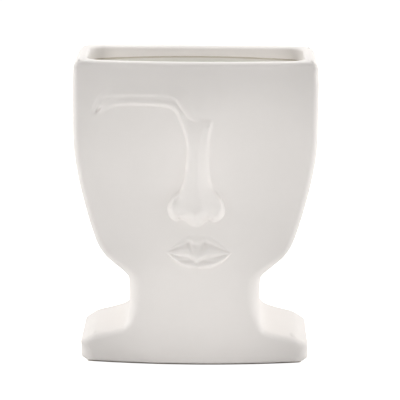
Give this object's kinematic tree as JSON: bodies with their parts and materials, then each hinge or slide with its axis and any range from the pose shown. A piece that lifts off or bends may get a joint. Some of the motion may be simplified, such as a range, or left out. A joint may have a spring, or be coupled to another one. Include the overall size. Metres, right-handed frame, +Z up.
{
  "type": "face vase",
  "caption": "Matte white ceramic vase in the form of a flat head on a neck and shoulders, open at the top, with a low one-brow face relief and a glazed inside.",
  "frame": {"origin": "middle of the vase's footprint on the table, at the underside of the pads, halfway between the nose and the back", "axes": "+Z up, the face looks along -Y, +X to the right as one looks at the face"},
  "size_m": [0.1646, 0.0832, 0.21],
  "materials": {
    "ceramic": "matte unglazed white, fine and smooth",
    "glaze": "glossy clear glaze, very slightly warm",
    "pad": "matte"
  },
  "bodies": {
    "root": {"vase_body": "ceramic", "interior_glaze": "glaze", "foot_pad_front_left": "pad", "foot_pad_front_right": "pad", "foot_pad_back_left": "pad", "foot_pad_back_right": "pad"}
  },
  "joints": []
}
